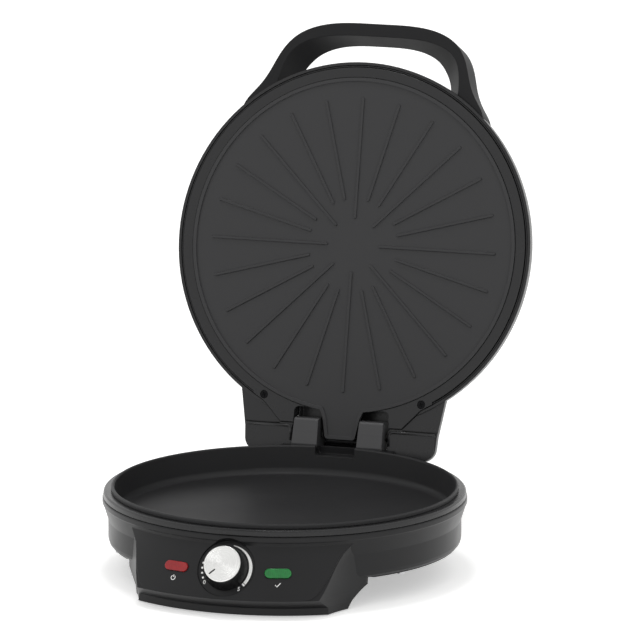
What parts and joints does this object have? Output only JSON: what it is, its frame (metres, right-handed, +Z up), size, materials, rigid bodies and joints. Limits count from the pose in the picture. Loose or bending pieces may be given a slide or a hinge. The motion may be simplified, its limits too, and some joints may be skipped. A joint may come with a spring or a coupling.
{
  "type": "electric griddle",
  "caption": "Round electric griddle with a deep lower pan, a hinged lid with a ribbed upper plate, a loop handle and a sloping front panel with a dial and lamps.",
  "frame": {"origin": "on the ground, under the middle of the footprint of the griddle with its lid open", "axes": "+Z up, -Y towards the control panel, +X to the right seen from the front"},
  "size_m": [0.3304, 0.4917, 0.4401],
  "materials": {
    "housing": "satin moulded black",
    "arm": "satin moulded dark grey",
    "nonstick": "satin non-stick coating on aluminium",
    "element": "sheathed heater",
    "aluminised": "pressed sheet",
    "red_lens": "clear red lens",
    "green_lens": "clear green lens",
    "lamp": "cream moulding",
    "ceramic_body": "moulded thermostat body",
    "steel": "zinc plated",
    "dark_screw": "black oxide",
    "bush": "bearing plastic",
    "knob": "moulded black with fine ribs",
    "spun_aluminium": "spun face",
    "rubber": "moulded rubber"
  },
  "bodies": {
    "base": {"base_housing": "housing", "bottom_cover": "housing", "foot_cover": "housing", "cover_screws": "steel", "rubber_feet": "rubber", "lower_rim_ring": "housing", "lower_pan": "nonstick", "lower_element": "element", "lower_reflector": "aluminised", "power_lens": "red_lens", "power_lamp": "lamp", "ready_lens": "green_lens", "ready_lamp": "lamp", "thermostat": "ceramic_body", "thermostat_bracket": "steel", "hinge_arm_left": "arm", "hinge_arm_right": "arm", "hinge_pin_left": "steel", "hinge_pin_right": "steel"},
    "lid": {"lid_shell": "housing", "lid_frame": "housing", "frame_screws": "dark_screw", "upper_plate": "nonstick", "upper_element": "element", "upper_reflector": "aluminised", "lid_handle": "housing", "lid_bush_left": "bush", "lid_bush_right": "bush"},
    "knob": {"thermostat_shaft": "steel", "knob_skirt": "knob", "knob_cap": "spun_aluminium"}
  },
  "joints": [
    {"name": "lid_hinge", "type": "hinge", "parent": "base", "child": "lid", "pos_m": [0, 0.11424, 0.0841], "axis": [1, 0, 0], "range_deg": [0, 103.6]},
    {"name": "knob_turn", "type": "hinge", "parent": "base", "child": "knob", "pos_m": [0, -0.22468, 0.03952], "axis": [0, -0.8499, 0.5269], "range_deg": [-270, 0]}
  ]
}
